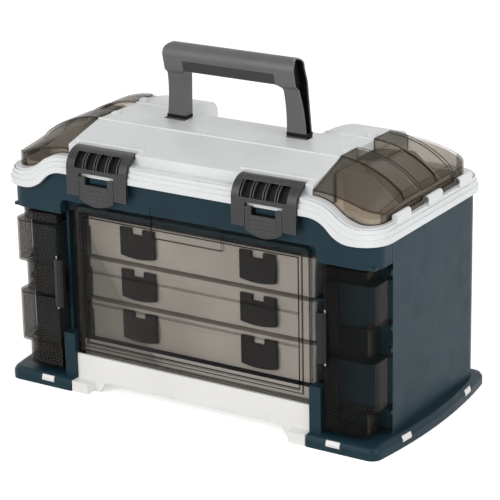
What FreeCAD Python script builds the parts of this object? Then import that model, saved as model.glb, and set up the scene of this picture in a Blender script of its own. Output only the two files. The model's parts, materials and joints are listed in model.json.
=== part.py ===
# Fishing tackle cabinet: a case with a drop-down door, two swing-out corner racks,
# three utility boxes and a hinged lid that carries a folding handle, two draw
# latches and two clear end lids.
# Frame: +X to the right, +Y to the back, +Z up, origin on the ground under the middle.
import FreeCAD, Part
import os

import Sketcher

Vector = FreeCAD.Vector
doc = FreeCAD.newDocument("tackle_cabinet")
sheet = doc.addObject("Spreadsheet::Sheet", "sizes")

# Driving dimensions, in millimetres.
SIZES = {
    # shared
    "wall": 3, "skin": 2, "clearance": 0.5, "overrun": 1, "pin_gap": 0.05,
    # the sizes that most others follow
    "case_half": 262, "box_half": 165, "case_front": 134, "case_back": 130, "rim_low": 262,
    # case
    "case_front_round": 23, "case_back_round": 24, "opening_round": 8, "bay_floor": 55,
    "post_top": 74, "notch_half": 50.5, "notch_deep": 1.5, "seam": 0.8,
    # foot of the case
    "foot_high": 16, "foot_edge": 6, "foot_round": 14, "foot_window_wide": 20,
    "foot_window_low": 6, "foot_window_high": 14.5, "side_window_at": 80,
    # base
    "panel_top": 47.5, "arch_high": 14.5, "arch_slope": 10, "plate_low": 9.5, "pad_half": 16,
    "tab_deep": 4.5,
    # lid rim
    "rim_round": 35, "rim_rise": 26, "rim_tall": 21, "rise_back": 60,
    "rise_spread_share": 0.6, "rim_thick": 5, "lip_tall": 8, "lip_step": 2, "rim_cover": 6,
    # lid top
    "ridge_front": 58.8, "ridge_back": 24, "ridge_wide": 2.4, "ridge_tall": 1.2,
    "rear_mid": 60, "rear_mid_drop": 1.7, "rear_bend": 94, "rear_bend_drop": 7.5,
    "rear_turn": 3.8, "rear_turn_drop": 13.8, "rear_end_drop": 24.8,
    "trough_half": 105, "trough_fall": 12,
    "trough_front": 17, "well_round": 22, "well_floor": 2.5, "ledge_deep": 8.5,
    "ledge_tall": 2, "catch_pad": 10, "catch_front": 30, "catch_back": 32,
    # handle
    "leg_out": 101.5, "leg_in": 73, "leg_top_out": 93.5, "leg_deep": 16, "leg_mid": 14.5,
    "neck_front": 21, "neck_back": 2.5, "neck_drop": 6, "swell_front": 28,
    "handle_axis_back": -6, "grip_front": 32.5, "grip_round": 14, "grip_turn": 9,
    "grip_strip": 14, "grip_strip_half": 66, "leg_recess": 10, "handle_pin": 3,
    "leg_slot_front": 19,
    "ear_wide": 5,
    # draw latches
    "latch_half": 44, "latch_thick": 4.5, "latch_barrel": 3.2, "latch_pin": 1.25,
    "window_half": 26, "fin_wide": 1.3, "fin_slit": 2.2, "cheek_wide": 10.5,
    "fin_back": 1.5, "lever_half": 25, "lever_arm": 8, "lever_thick": 4.5, "grip_rib": 1,
    "lug_half": 14,
    # lid hinge
    "hinge_barrel": 5, "hinge_pin": 2.2, "knuckle_wide": 18,
    # clear end lids
    "dome_flat": 180, "dome_bend": 222, "dome_bend_drop": 10.5, "dome_knee_drop": 31.5,
    "dome_edge_drop": 39.5, "front_fall_in": 23.5, "front_fall_out": 6, "back_fall_in": 18,
    "back_fall_out": 1.5, "bend_share": 0.8, "knee_share": 0.25, "band_drop": 1.5,
    "band_start": 20, "band_end": 61, "recess_out": 212, "dome_barrel": 4,
    "dome_pin": 1.3, "block_mid": 17.5, "block_end": 94,
    # front door
    "door_low": 48.7, "door_round": 9, "door_thick": 2.5, "door_deep": 8, "frame_low": 59.5,
    "ridge_stand": 1.5, "tab_half": 51, "door_axis_up": 58, "door_pin": 3,
    "door_pin_long": 5,
    # corner racks
    "rack_round": 14, "rack_narrow": 11, "rack_step": 1.5, "rack_low": 22,
    "shelf_high": 160, "shelf_mid": 118, "shelf_low": 53, "rack_rod": 1.75, "hook_out": 3.6,
    "hook_tall": 5, "lip_high": 26, "ear_round": 3, "pull_low": 108, "pull_high": 171,
    "pull_pin": 1.2, "pull_boss": 4,
    # utility boxes
    "box_tall": 50, "box_low": 64, "box_pitch": 55, "box_lid_tall": 12, "box_round": 6,
    "box_latch_half": 25, "box_latch_thick": 4, "box_latch_low": 7, "box_latch_top": 46,
    "rail_thick": 2, "divider_thick": 1.6, "divider_pitch": 55,
}

# Sizes that keep their distance from the size they stand under here. Each is given as
# how far it lies beyond that size.
FOLLOWERS = {
    "case_half": {
        "rim_half": 8, "foot_half": 17.5, "foot_end_half": 7, "rise_out": -30,
        "well_half": -2, "plate_half": -12, "dome_out": -2.7, "dome_knee_out": -6.5,
        "dome_axis_out": 3, "rack_out": -2, "rack_axis_out": -1.5, "tray_out": -8,
    },
    "box_half": {
        "opening_half": 19, "post_in": 6.5, "foot_open": 7.8, "front_window_at": 44,
        "panel_half": 6, "step_in": -18, "arch_foot": -27, "rise_in": 10, "lid_half": 9,
        "dome_in": 9, "tray_in": 13, "latch_at": -45.8, "hinge_at": -15, "door_half": 5,
        "frame_out": -5, "frame_in": -10, "rack_in": 27, "pull_in": 19, "pull_out": 31.5,
        "rail_in": -7, "box_latch_at": -78,
    },
    "case_front": {
        "foot_front": 10.5, "partition_front": -16, "deck_front": -17,
        "pocket_back": -41.5, "side_wall_front": -41.5, "panel_front": -4.2,
        "step_front": 10, "plate_deep": -16, "rim_front": 8.5, "brow_front": -10,
        "latch_front": 12, "latch_axis_front": -14.5, "lug_front": 5.3, "dome_front": -9,
        "door_front": -6.5, "tab_front": -2.5, "door_axis_front": -11, "rack_back": -35.5,
        "rack_axis_front": -38, "pull_front": 4.5, "pull_back": -3, "box_front": -28,
        "tray_front": -18,
    },
    "case_back": {
        "foot_back": 11.5, "rim_back": 6.5, "hinge_back": 12, "top_back": -22.5,
        "dome_back": -23, "tray_back": -31, "box_back": -24,
    },
    "rim_low": {
        "band_low": -30, "opening_top": -11, "deck_top": -26, "step_top": -7,
        "notch_top": 0, "brow_high": 59, "lid_top": 75.5, "open_above": 83,
        "trough_floor": 56, "well_low": 8, "handle_axis_up": 69, "handle_low": 63,
        "grip_low": 142, "grip_high": 175.5, "latch_low": 2.9, "latch_knee": 37,
        "latch_axis_up": 56.5, "window_top": 32.5, "fin_top": 56.5, "lever_arm_top": 27.8,
        "lever_bar_top": 18, "lever_low": 0, "tongue_low": -8.5, "lever_axis_up": 24.5,
        "lug_low": 19, "lug_high": 25, "hinge_up": 0, "dome_high": 77.5,
        "recess_low": 64, "recess_high": 68.5, "dome_axis_up": 26, "frame_high": -27,
        "door_high": -17, "tab_low": -41, "tab_high": -12, "rack_high": -33,
        "strip_low": -48, "tray_low": 10.8, "tray_inner_high": 61,
        "tray_outer_high": 29,
    },
}

# The middle of a corner's arc stands in from the sharp corner by this share of its radius.
CORNER_SHARE = 0.292893
# A run at 30 degrees to a line goes this share of its own length along that line.
SLANT_SHARE = 0.866025


class Size:
    """A length that knows its value and the spreadsheet expression that gives it."""

    def __init__(self, text, value):
        self.text = text
        self.value = value

    @staticmethod
    def of(other):
        return other if isinstance(other, Size) else Size(str(other), float(other))

    def __add__(self, other):
        other = Size.of(other)
        return Size(f"({self.text} + {other.text})", self.value + other.value)

    def __sub__(self, other):
        other = Size.of(other)
        return Size(f"({self.text} - {other.text})", self.value - other.value)

    def __mul__(self, other):
        other = Size.of(other)
        return Size(f"({self.text} * {other.text})", self.value * other.value)

    def __truediv__(self, other):
        other = Size.of(other)
        return Size(f"({self.text} / {other.text})", self.value / other.value)

    def __neg__(self):
        return Size(f"(-1 * {self.text})", -self.value)

    def __radd__(self, other):
        return Size.of(other) + self

    def __rsub__(self, other):
        return Size.of(other) - self

    def __rmul__(self, other):
        return Size.of(other) * self

    def root(self):
        return Size(f"sqrt({self.text})", self.value ** 0.5)


class Sizes:
    """The sheet's cells by name, such as s.wall."""


s = Sizes()
rows = dict(SIZES)
for group in FOLLOWERS.values():
    rows.update({f"{alias}_beyond": value for alias, value in group.items()})
for row, (alias, value) in enumerate(rows.items(), start=1):
    sheet.set(f"A{row}", alias)
    sheet.set(f"B{row}", str(value))
    sheet.setAlias(f"B{row}", alias)
    setattr(s, alias, Size(f"sizes.{alias}", float(value)))
for leader, group in FOLLOWERS.items():
    for alias in group:
        setattr(s, alias, getattr(s, leader) + getattr(s, f"{alias}_beyond"))
doc.recompute()

AXES = {"x": Vector(1, 0, 0), "y": Vector(0, 1, 0), "z": Vector(0, 0, 1)}
# How a cylinder's own axis, or a sketch's plane, turns to face along each axis.
ROD_TURNS = {"x": FreeCAD.Rotation(AXES["y"], 90), "y": FreeCAD.Rotation(AXES["x"], -90),
             "z": FreeCAD.Rotation()}
SKETCH_TURNS = {"x": FreeCAD.Rotation(Vector(1, 1, 1), 120),
                "y": FreeCAD.Rotation(AXES["x"], 90), "z": FreeCAD.Rotation()}
PLANES = {"x": "YZ_Plane", "y": "XZ_Plane", "z": "XY_Plane"}


def set_size(obj, prop, size):
    size = Size.of(size)
    obj.setExpression(prop, size.text)


def place(obj, x, y, z):
    for letter, size in zip("xyz", (x, y, z)):
        set_size(obj, f"Placement.Base.{letter}", size)


def box(name, x, y, z):
    """A block between two values on each axis."""
    obj = doc.addObject("Part::Box", name)
    set_size(obj, "Length", x[1] - x[0])
    set_size(obj, "Width", y[1] - y[0])
    set_size(obj, "Height", z[1] - z[0])
    place(obj, x[0], y[0], z[0])
    return obj


def rod(name, axis, centre, radius, low, high):
    """A round rod along an axis; centre gives the other two coordinates in order."""
    obj = doc.addObject("Part::Cylinder", name)
    obj.Placement = FreeCAD.Placement(Vector(), ROD_TURNS[axis])
    set_size(obj, "Radius", radius)
    set_size(obj, "Height", high - low)
    at = dict(zip([letter for letter in "xyz" if letter != axis], centre))
    at[axis] = low
    place(obj, at["x"], at["y"], at["z"])
    return obj


def draw(sketch, outline):
    """Draws a closed outline and ties every point of it to the sheet.

    The first entry is the starting point. Each later entry is a straight run to a
    point, or an arc through a middle point to an end point.
    """
    start = outline[0]
    runs = list(outline[1:])
    if abs(Size.of(runs[-1][-2]).value - Size.of(start[0]).value) > 1e-6 or \
            abs(Size.of(runs[-1][-1]).value - Size.of(start[1]).value) > 1e-6:
        runs.append(start)
    spot = [tuple(Size.of(part) for part in start)]
    ends = []
    ties = []
    for run in runs:
        run = tuple(Size.of(part) for part in run)
        first = Vector(spot[-1][0].value, spot[-1][1].value, 0)
        last = Vector(run[-2].value, run[-1].value, 0)
        if len(run) == 2:
            edge = sketch.addGeometry(Part.LineSegment(first, last))
        else:
            middle = Vector(run[0].value, run[1].value, 0)
            # The solver keeps an arc as drawn only when it runs counter-clockwise.
            if (middle - first).cross(last - middle).z > 0:
                edge = sketch.addGeometry(Part.Arc(first, middle, last))
            else:
                edge = sketch.addGeometry(Part.Arc(last, middle, first))
            point = sketch.addGeometry(Part.Point(middle), True)
            sketch.addConstraint(Sketcher.Constraint("PointOnObject", point, 1, edge))
            ties.append((point, 1, run[0], run[1]))
        forward = (sketch.Geometry[edge].StartPoint - first).Length < \
            (sketch.Geometry[edge].EndPoint - first).Length
        ends.append((edge, 1, 2) if forward else (edge, 2, 1))
        ties.append((edge, ends[-1][1], spot[-1][0], spot[-1][1]))
        spot.append((run[-2], run[-1]))
    for here, after in zip(ends, ends[1:] + ends[:1]):
        sketch.addConstraint(Sketcher.Constraint("Coincident", here[0], here[2],
                                                 after[0], after[1]))
    for edge, end, across, up in ties:
        for kind, size in (("DistanceX", across), ("DistanceY", up)):
            index = sketch.addConstraint(
                Sketcher.Constraint(kind, -1, 1, edge, end, size.value))
            sketch.setExpression(f"Constraints[{index}]", size.text)


def slab(name, axis, outline, low, high):
    """An outline drawn across an axis and carried along it from low to high."""
    sketch = doc.addObject("Sketcher::SketchObject", name + "_outline")
    sketch.Placement = FreeCAD.Placement(Vector(), SKETCH_TURNS[axis])
    draw(sketch, outline)
    obj = doc.addObject("Part::Extrusion", name)
    obj.Base = sketch
    obj.DirMode = "Custom"
    obj.Dir = AXES[axis]
    obj.Solid = True
    set_size(obj, "LengthFwd", high)
    set_size(obj, "LengthRev", -Size.of(low))
    return obj


def moulding(name, steps):
    """A PartDesign body made of pads and pockets, each an outline along an axis."""
    body = doc.addObject("PartDesign::Body", name)
    planes = {feature.Role: feature for feature in body.Origin.OriginFeatures}
    for count, (kind, axis, outline, low, high) in enumerate(steps):
        sketch = body.newObject("Sketcher::SketchObject", f"{name}_outline_{count}")
        sketch.AttachmentSupport = [(planes[PLANES[axis]], "")]
        sketch.MapMode = "FlatFace"
        low, high = Size.of(low), Size.of(high)
        # The plane across Y faces forward, the other two face along their axis.
        near = {"Pad": -high, "Pocket": -low} if axis == "y" else {"Pad": low, "Pocket": high}
        set_size(sketch, "AttachmentOffset.Base.z", near[kind])
        draw(sketch, outline)
        feature = body.newObject(f"PartDesign::{kind}", f"{name}_{kind.lower()}_{count}")
        feature.Profile = sketch
        set_size(feature, "Length", high - low)
        sketch.Visibility = False
    return body


def loft(name, axis, *sections):
    """A ruled solid between outlines drawn across an axis, each given with its place."""
    sketches = []
    for index, (at, outline) in enumerate(sections):
        sketch = doc.addObject("Sketcher::SketchObject", f"{name}_outline_{index}")
        sketch.Placement = FreeCAD.Placement(Vector(), SKETCH_TURNS[axis])
        set_size(sketch, f"Placement.Base.{axis}", at)
        draw(sketch, outline)
        sketches.append(sketch)
    obj = doc.addObject("Part::Loft", name)
    obj.Sections = sketches
    obj.Solid = True
    obj.Ruled = True
    return obj


def fuse(name, *parts):
    obj = doc.addObject("Part::MultiFuse", name)
    obj.Shapes = list(parts)
    return obj


def common(name, *parts):
    obj = doc.addObject("Part::MultiCommon", name)
    obj.Shapes = list(parts)
    return obj


def cut(name, base, *tools):
    obj = doc.addObject("Part::Cut", name)
    obj.Base = base
    obj.Tool = tools[0] if len(tools) == 1 else fuse(name + "_tools", *tools)
    return obj


def mirror(name, source):
    """The same piece on the other side of the middle."""
    obj = doc.addObject("Part::Mirroring", name)
    obj.Source = source
    obj.Normal = AXES["x"]
    return obj


def rectangle(x, y):
    return [(x[0], y[0]), (x[1], y[0]), (x[1], y[1]), (x[0], y[1])]


def rounded(x, y, low_round, high_round):
    """A rectangle with one radius at its low side's corners and one at its high side's."""
    low_in = low_round * CORNER_SHARE
    high_in = high_round * CORNER_SHARE
    return [(x[0] + low_round, y[0]), (x[1] - low_round, y[0]),
            (x[1] - low_in, y[0] + low_in, x[1], y[0] + low_round),
            (x[1], y[1] - high_round),
            (x[1] - high_in, y[1] - high_in, x[1] - high_round, y[1]),
            (x[0] + high_round, y[1]),
            (x[0] + high_in, y[1] - high_in, x[0], y[1] - high_round),
            (x[0], y[0] + low_round),
            (x[0] + low_in, y[0] + low_in, x[0] + low_round, y[0])]


def top_rounded(x, z, radius):
    """A rectangle with both upper corners rounded."""
    inset = radius * CORNER_SHARE
    return [(x[0], z[0]), (x[1], z[0]), (x[1], z[1] - radius),
            (x[1] - inset, z[1] - inset, x[1] - radius, z[1]), (x[0] + radius, z[1]),
            (x[0] + inset, z[1] - inset, x[0], z[1] - radius)]


def rise(offset):
    """The wavy line of the rim's front, from left to right, raised by an offset.

    Each wave is two equal arcs that meet halfway, so its chord gives every point.
    """
    low = s.rim_low + offset
    high = low + s.rim_rise
    out = s.rise_out + s.rise_spread_share * offset
    run = out - s.rise_in
    chord = (run * run + s.rim_rise * s.rim_rise).root()
    stand = chord * chord / (4 * s.rim_rise) * (1 - run / chord)
    middle = (s.rise_in + out) / 2
    halfway = (low + high) / 2
    upper = (s.rise_in + chord / 4, high - stand)
    lower = (out - chord / 4, low + stand)
    return [(-out, low),
            (-lower[0], lower[1], -middle, halfway),
            (-upper[0], upper[1], -s.rise_in, high),
            (s.rise_in, high),
            (upper[0], upper[1], middle, halfway),
            (lower[0], lower[1], out, low)]


def backwards(path):
    """The same path walked from its end to its start."""
    turned = [path[-1][-2:]]
    for run, before in zip(reversed(path[1:]), reversed(path[:-1])):
        turned.append((run[0], run[1], *before[-2:]) if len(run) == 4 else before[-2:])
    return turned


def case_floor_plan(inset):
    """The case's plan outline, stood in by an inset."""
    half = s.case_half - inset
    return rounded((-half, half), (-s.case_front + inset, s.case_back - inset),
                   s.case_front_round - inset, s.case_back_round - inset)


def foot_plan(inset):
    """The foot's plan outline: straight front and back, sides bowed outward."""
    end = s.foot_end_half - inset
    front = -s.foot_front + inset
    back = s.foot_back - inset
    round_in = s.foot_round * CORNER_SHARE
    return [(-end + s.foot_round, front), (end - s.foot_round, front),
            (end - round_in, front + round_in, end, front + s.foot_round),
            (s.foot_half - inset, 0, end, back - s.foot_round),
            (end - round_in, back - round_in, end - s.foot_round, back),
            (-end + s.foot_round, back),
            (-end + round_in, back - round_in, -end, back - s.foot_round),
            (-s.foot_half + inset, 0, -end, front + s.foot_round),
            (-end + round_in, front + round_in, -end + s.foot_round, front)]


def wide(size):
    return (-size, size)


def both(maker):
    """A piece and its mirror image across the middle."""
    piece = maker()
    return [piece, mirror(piece.Name + "_mirrored", piece)]


# Case
def case_band():
    """The upper ring of the case, its top edge following the rim's wave."""
    outer = slab("band_outer", "z", case_floor_plan(0), s.band_low, s.rim_low + s.rim_rise + s.wall)
    inner = slab("band_inner", "z", case_floor_plan(s.wall), s.band_low - s.overrun,
                 s.rim_low + s.rim_rise + s.wall + s.overrun)
    ring = cut("band_ring", outer, inner)
    reach = s.rim_half + s.overrun
    over = s.lid_top
    wave = rise(s.rim_cover)
    sky = slab("band_sky", "y", wave + [(reach, wave[-1][-1]), (reach, over), (-reach, over),
                                        (-reach, wave[0][1])],
               -s.rim_front, -s.rise_back)
    flat_sky = box("band_flat_sky", wide(reach), (-s.rise_back, s.rim_back),
                   (s.rim_low + s.rim_cover, over))
    doorway = slab("band_doorway", "y",
                   top_rounded(wide(s.opening_half), (s.band_low - s.overrun, s.opening_top),
                               s.opening_round),
                   -s.case_front - s.overrun, -s.case_front + s.wall + s.overrun)
    notch = box("band_notch", wide(s.notch_half), (-s.case_front - s.overrun,
                                                   -s.case_front + s.notch_deep),
                (s.opening_top - s.overrun, s.notch_top))
    seams = both(lambda: box("band_seam", (s.case_half - s.seam, s.case_half + s.overrun),
                             (-s.side_wall_front - s.wall, -s.side_wall_front - s.skin),
                             (s.band_low - s.overrun, s.lid_top)))
    return cut("case_band", ring, sky, flat_sky, doorway, notch, *seams)


def case_walls():
    """Side and back walls below the band, open at the front corners for the racks."""
    outer = slab("walls_outer", "z", case_floor_plan(0), s.foot_high, s.band_low)
    inner = slab("walls_inner", "z", case_floor_plan(s.wall), 0, s.band_low + s.overrun)
    front = box("walls_front", wide(s.rim_half), (-s.foot_front, -s.side_wall_front),
                (0, s.band_low + s.overrun))
    return cut("case_walls", outer, fuse("walls_cutters", inner, front))


def case_inside():
    """Partitions, pocket walls, floors and the deck under the bulk storage."""
    partition = (s.opening_half, s.opening_half + s.wall)
    low = s.foot_high
    high = s.band_low + s.wall
    inner_back = s.case_back - s.wall
    parts = both(lambda: box("partition", partition, (-s.partition_front, inner_back),
                             (low, s.band_low + s.wall)))
    parts += both(lambda: box("pocket_wall", (s.opening_half, s.case_half - s.wall),
                              (-s.pocket_back, -s.pocket_back + s.wall), (low, high)))
    roof_outline = rounded((s.opening_half, s.case_half - s.wall),
                           (-s.case_front + s.wall, -s.pocket_back), s.wall, s.wall)
    parts += both(lambda: slab("pocket_roof", "z", roof_outline, s.band_low, high))
    parts.append(box("bay_floor_plate", wide(s.opening_half),
                     (-s.box_front - s.wall, inner_back),
                     (s.bay_floor - s.wall, s.bay_floor)))
    parts.append(box("deck", wide(s.opening_half + s.wall), (-s.deck_front, inner_back),
                     (s.deck_top - s.wall, s.deck_top)))
    parts.append(box("deck_riser", wide(s.opening_half + s.wall),
                     (-s.deck_front, -s.deck_front + s.wall), (s.deck_top - s.wall, s.step_top)))
    parts.append(box("deck_step", wide(s.opening_half + s.wall),
                     (-s.case_front + s.wall, -s.deck_front + s.wall),
                     (s.step_top - s.wall, s.step_top)))
    parts += both(lambda: box("riser_cheek", partition, (-s.case_front + s.wall, -s.deck_front),
                              (s.band_low, s.step_top)))
    for index in range(3):
        under = s.box_low - s.clearance + index * s.box_pitch
        parts += both(lambda: box(f"rail_{index}", (s.rail_in, s.opening_half),
                                  (-s.box_front + s.wall, inner_back),
                                  (under - s.rail_thick, under)))
    return parts


def foot_form(name, inset):
    """The foot's outer form with its rounded top edge, or that form set in a little."""
    turn = s.foot_edge * CORNER_SHARE
    start = s.foot_high - s.foot_edge
    return fuse(name, slab(name + "_side", "z", foot_plan(inset), 0, start),
                loft(name + "_edge", "z", (start, foot_plan(inset)),
                     (s.foot_high - turn, foot_plan(inset + turn)),
                     (s.foot_high, foot_plan(inset + s.foot_edge))))


def make_foot():
    """The foot under the case: a rounded skirt, open in the middle of the front, with
    tab windows, and two posts that carry the door's pins and the bay's floor."""
    outer = foot_form("foot_outer", Size.of(0))
    inner = slab("foot_inner", "z", foot_plan(s.wall), -s.overrun, s.foot_high - s.wall)
    middle = box("foot_middle", wide(s.foot_open), (-s.foot_front - s.overrun,
                                                    s.case_back - s.wall),
                 (-s.overrun, s.foot_high + s.overrun))
    tools = [inner, middle]
    windows = (s.foot_window_low, s.foot_window_high)
    half = s.foot_window_wide / 2
    tools += both(lambda: box("front_window", (s.front_window_at - half, s.front_window_at + half),
                              (-s.foot_front - s.overrun, -s.foot_front + 2 * s.wall), windows))
    for side, at in (("front", -s.side_window_at), ("back", s.side_window_at)):
        tools += both(lambda: box(f"{side}_side_window", (s.foot_end_half - s.wall, s.foot_half
                                                          + s.overrun),
                                  (at - half, at + half), windows))
    low = s.foot_high - s.wall
    posts = both(lambda: box("post", (s.post_in, s.opening_half + s.wall),
                             (-s.case_front, -s.partition_front), (low, s.post_top)))
    posts += both(lambda: box("post_wall", (s.post_in, s.post_in + s.wall),
                              (-s.partition_front, s.case_back - s.wall),
                              (low, s.bay_floor - s.wall)))
    door_bore = rod("door_bore", "x", (-s.door_axis_front, s.door_axis_up),
                    s.door_pin + s.pin_gap, -s.post_in - s.door_pin_long - s.clearance,
                    s.post_in + s.door_pin_long + s.clearance)
    return cut("case_foot", fuse("foot_solid", cut("foot_skirt", outer, *tools), *posts),
               door_bore)


def rack_hooks():
    """Open hooks on the side wall's front edge that hold the rack's rods."""
    centre = (s.rack_axis_out, -s.rack_axis_front)
    inset = s.hook_tall
    lows = [s.strip_low + inset, s.shelf_high - 2 * inset, s.shelf_mid + inset,
            s.shelf_low - 2 * inset]
    hooks = []
    for index, low in enumerate(lows):
        hooks.append(rod(f"hook_{index}", "z", centre, s.hook_out, low, low + s.hook_tall))
    web = box("hook_web", (s.rack_axis_out - s.wall / 2, s.case_half),
              (-s.side_wall_front - s.wall / 2, -s.side_wall_front + s.overrun),
              (lows[3], lows[0] + s.hook_tall))
    bore = rod("hook_bore", "z", centre, s.rack_rod + s.pin_gap, s.foot_high, s.band_low)
    mouth = box("hook_mouth", (s.rack_axis_out - s.rack_rod, s.rack_axis_out + s.rack_rod),
                (-s.rack_axis_front - s.hook_out - s.overrun, -s.rack_axis_front),
                (s.foot_high, s.band_low))
    trimmed = common("hook_webs", web, fuse("hook_zones", *[
        box(f"hook_zone_{index}", (s.rack_axis_out - s.hook_out, s.case_half),
            (-s.rack_axis_front, -s.side_wall_front + s.overrun), (low, low + s.hook_tall))
        for index, low in enumerate(lows)]))
    return cut("rack_hooks", fuse("hook_rings", trimmed, *hooks), bore, mouth)


def hinge_knuckles(name, spans, web_y, web_z):
    """Barrels on the lid hinge's axis, each with a web to what carries it."""
    centre = (s.hinge_back, s.hinge_up)
    parts = []
    for index, span in enumerate(spans):
        parts.append(rod(f"{name}_barrel_{index}", "x", centre, s.hinge_barrel, *span))
        parts.append(box(f"{name}_web_{index}", span, web_y, web_z))
    return parts


def make_case():
    half = s.knuckle_wide / 2
    spans = [(s.hinge_at - 3 * half, s.hinge_at - half - s.clearance),
             (s.hinge_at + half + s.clearance, s.hinge_at + 3 * half)]
    knuckles = hinge_knuckles("case_knuckle", spans, (s.case_back - s.wall, s.hinge_back),
                              (s.hinge_up - s.hinge_barrel, s.hinge_up - s.overrun))
    bore = rod("case_hinge_bore", "x", (s.hinge_back, s.hinge_up), s.hinge_pin + s.pin_gap,
               s.hinge_at - 3 * half - s.overrun, s.hinge_at + 3 * half + s.overrun)
    knuckle = cut("case_hinge", fuse("case_hinge_solid", *knuckles), bore)
    lug = box("catch_lug", (s.latch_at - s.lug_half, s.latch_at + s.lug_half),
              (-s.lug_front, -s.case_front + s.wall / 2), (s.lug_low, s.lug_high))
    hooks = rack_hooks()
    sides = []
    for piece in (knuckle, lug, hooks):
        sides += [piece, mirror(piece.Name + "_mirrored", piece)]
    return fuse("case_shell", case_band(), case_walls(), *case_inside(), *sides)


# Base
def base_tabs():
    """Tongues from the base's right plate that end in blocks, flush in the foot's windows."""
    half = s.foot_window_wide / 2 - s.clearance
    tall = (s.foot_window_low + s.clearance, s.foot_window_high - s.clearance)
    flat = (s.plate_low, s.plate_low + s.wall)
    span = (s.front_window_at - half, s.front_window_at + half)
    blocks = [box("front_block", span, (-s.foot_front, -s.foot_front + s.tab_deep), tall)]
    tongues = [box("front_tongue", span, (-s.foot_front + s.tab_deep / 2,
                                          -s.plate_deep + s.wall), flat)]
    inner = s.foot_end_half + s.wall / 2
    for name, at in (("front", -s.side_window_at), ("back", s.side_window_at)):
        span = (at - half, at + half)
        blocks.append(box(f"{name}_side_block", (inner, s.foot_half), span, tall))
        tongues.append(box(f"{name}_side_tongue", (s.plate_half - s.wall, inner + s.wall / 2),
                           span, flat))
    blocks = common("tab_blocks", fuse("tab_block_set", *blocks),
                    foot_form("tab_form", s.clearance))
    return [blocks] + tongues


def make_base():
    """A pale base: front panel with an arch between two steps, plates, pads and tabs."""
    arch = [(-s.panel_half, 0), (-s.arch_foot, 0), (-s.arch_foot + s.arch_slope, s.arch_high),
            (s.arch_foot - s.arch_slope, s.arch_high), (s.arch_foot, 0), (s.panel_half, 0),
            (s.panel_half, s.panel_top), (-s.panel_half, s.panel_top)]
    panel = moulding("base_panel", [("Pad", "y", arch, -s.panel_front, -s.panel_front + s.wall)])
    parts = [panel]
    parts += both(lambda: box("base_step", (s.step_in, s.panel_half),
                              (-s.step_front, -s.panel_front + s.wall), (0, s.arch_high)))
    back = s.case_back - s.wall - s.clearance
    parts.append(box("base_plate", wide(s.panel_half), (-s.panel_front, back),
                     (s.arch_high, s.arch_high + s.wall)))
    parts.append(box("base_back", wide(s.panel_half), (back - s.wall, back),
                     (0, s.arch_high + s.wall)))
    top = s.plate_low + s.wall
    side = slab("base_side", "z", rounded((s.panel_half - 2 * s.wall, s.plate_half),
                                          wide(s.plate_deep), s.case_front_round,
                                          s.case_front_round), s.plate_low, top)
    ramp = box("base_ramp", (s.panel_half - 2 * s.wall, s.panel_half), wide(s.plate_deep),
               (s.plate_low, s.arch_high + s.wall))
    pads = []
    for name, back in (("front", -s.plate_deep + s.pad_half), ("back", s.plate_deep - s.pad_half)):
        pads.append(rod(f"base_pad_{name}", "z", (s.plate_half - 2 * s.pad_half, back),
                        s.pad_half, 0, top))
    half_base = fuse("base_half", side, ramp, *pads, *base_tabs())
    return fuse("base_tray", *parts, half_base, mirror("base_half_mirrored", half_base))


# Lid
def rim_plan(offset, back_offset=None):
    back_offset = offset if back_offset is None else back_offset
    half = s.rim_half - offset
    return rounded((-half, half), (-s.rim_front + offset, s.rim_back - back_offset),
                   s.rim_round - offset, s.rim_round - offset)


def rim_layer(name, plan, low, high, flat_low=False):
    """A plan outline carried up between two offsets from the rim's lower wave."""
    reach = s.rim_half + s.overrun
    level = s.rim_low + low
    under = [(-s.rise_out, level), (s.rise_out, level)] if flat_low else rise(low)
    over = backwards(rise(high))
    wave = slab(name + "_wave", "y",
                [(-reach, under[0][1])] + under + [(reach, under[-1][-1]), (reach, over[0][1])]
                + over + [(-reach, over[-1][-1])],
                -s.rim_front - s.overrun, -s.rise_back)
    flat = box(name + "_flat", wide(reach), (-s.rise_back, s.rim_back + s.overrun),
               (s.rim_low + low, s.rim_low + high))
    column = slab(name + "_column", "z", plan, s.rim_low - s.rim_rise, s.lid_top)
    return common(name, column, fuse(name + "_region", wave, flat))


def well_plan(inset):
    half = s.well_half - inset
    return rounded((-half, half), (-s.brow_front + inset, s.top_back - inset),
                   s.well_round - inset, s.well_round - inset)


def end_profile(down, inset):
    """The lid's outline over its ends, seen from the side: flat, then falling and rounded
    off behind."""
    front = -s.brow_front + inset
    back = s.top_back - inset
    low = s.well_low - down
    top = s.lid_top - down
    return [(front, low), (back, low), (back, top - s.rear_end_drop),
            (back - s.rear_turn, top - s.rear_turn_drop,
             s.rear_bend - inset, top - s.rear_bend_drop),
            (s.rear_mid - inset, top - s.rear_mid_drop, s.ridge_back, top),
            (-s.ridge_front, top), (front, s.brow_high - down)]


def trough_profile(down, inset):
    """The lid's outline over the middle, where the folded handle lies behind the top."""
    front = -s.brow_front + inset
    back = s.top_back - inset
    low = s.well_low - down
    return [(front, low), (back, low), (back, s.trough_floor - s.trough_fall - down),
            (s.trough_front + s.wall, s.trough_floor - down),
            (s.trough_front, s.lid_top - down), (-s.ridge_front, s.lid_top - down),
            (front, s.brow_high - down)]


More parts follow.
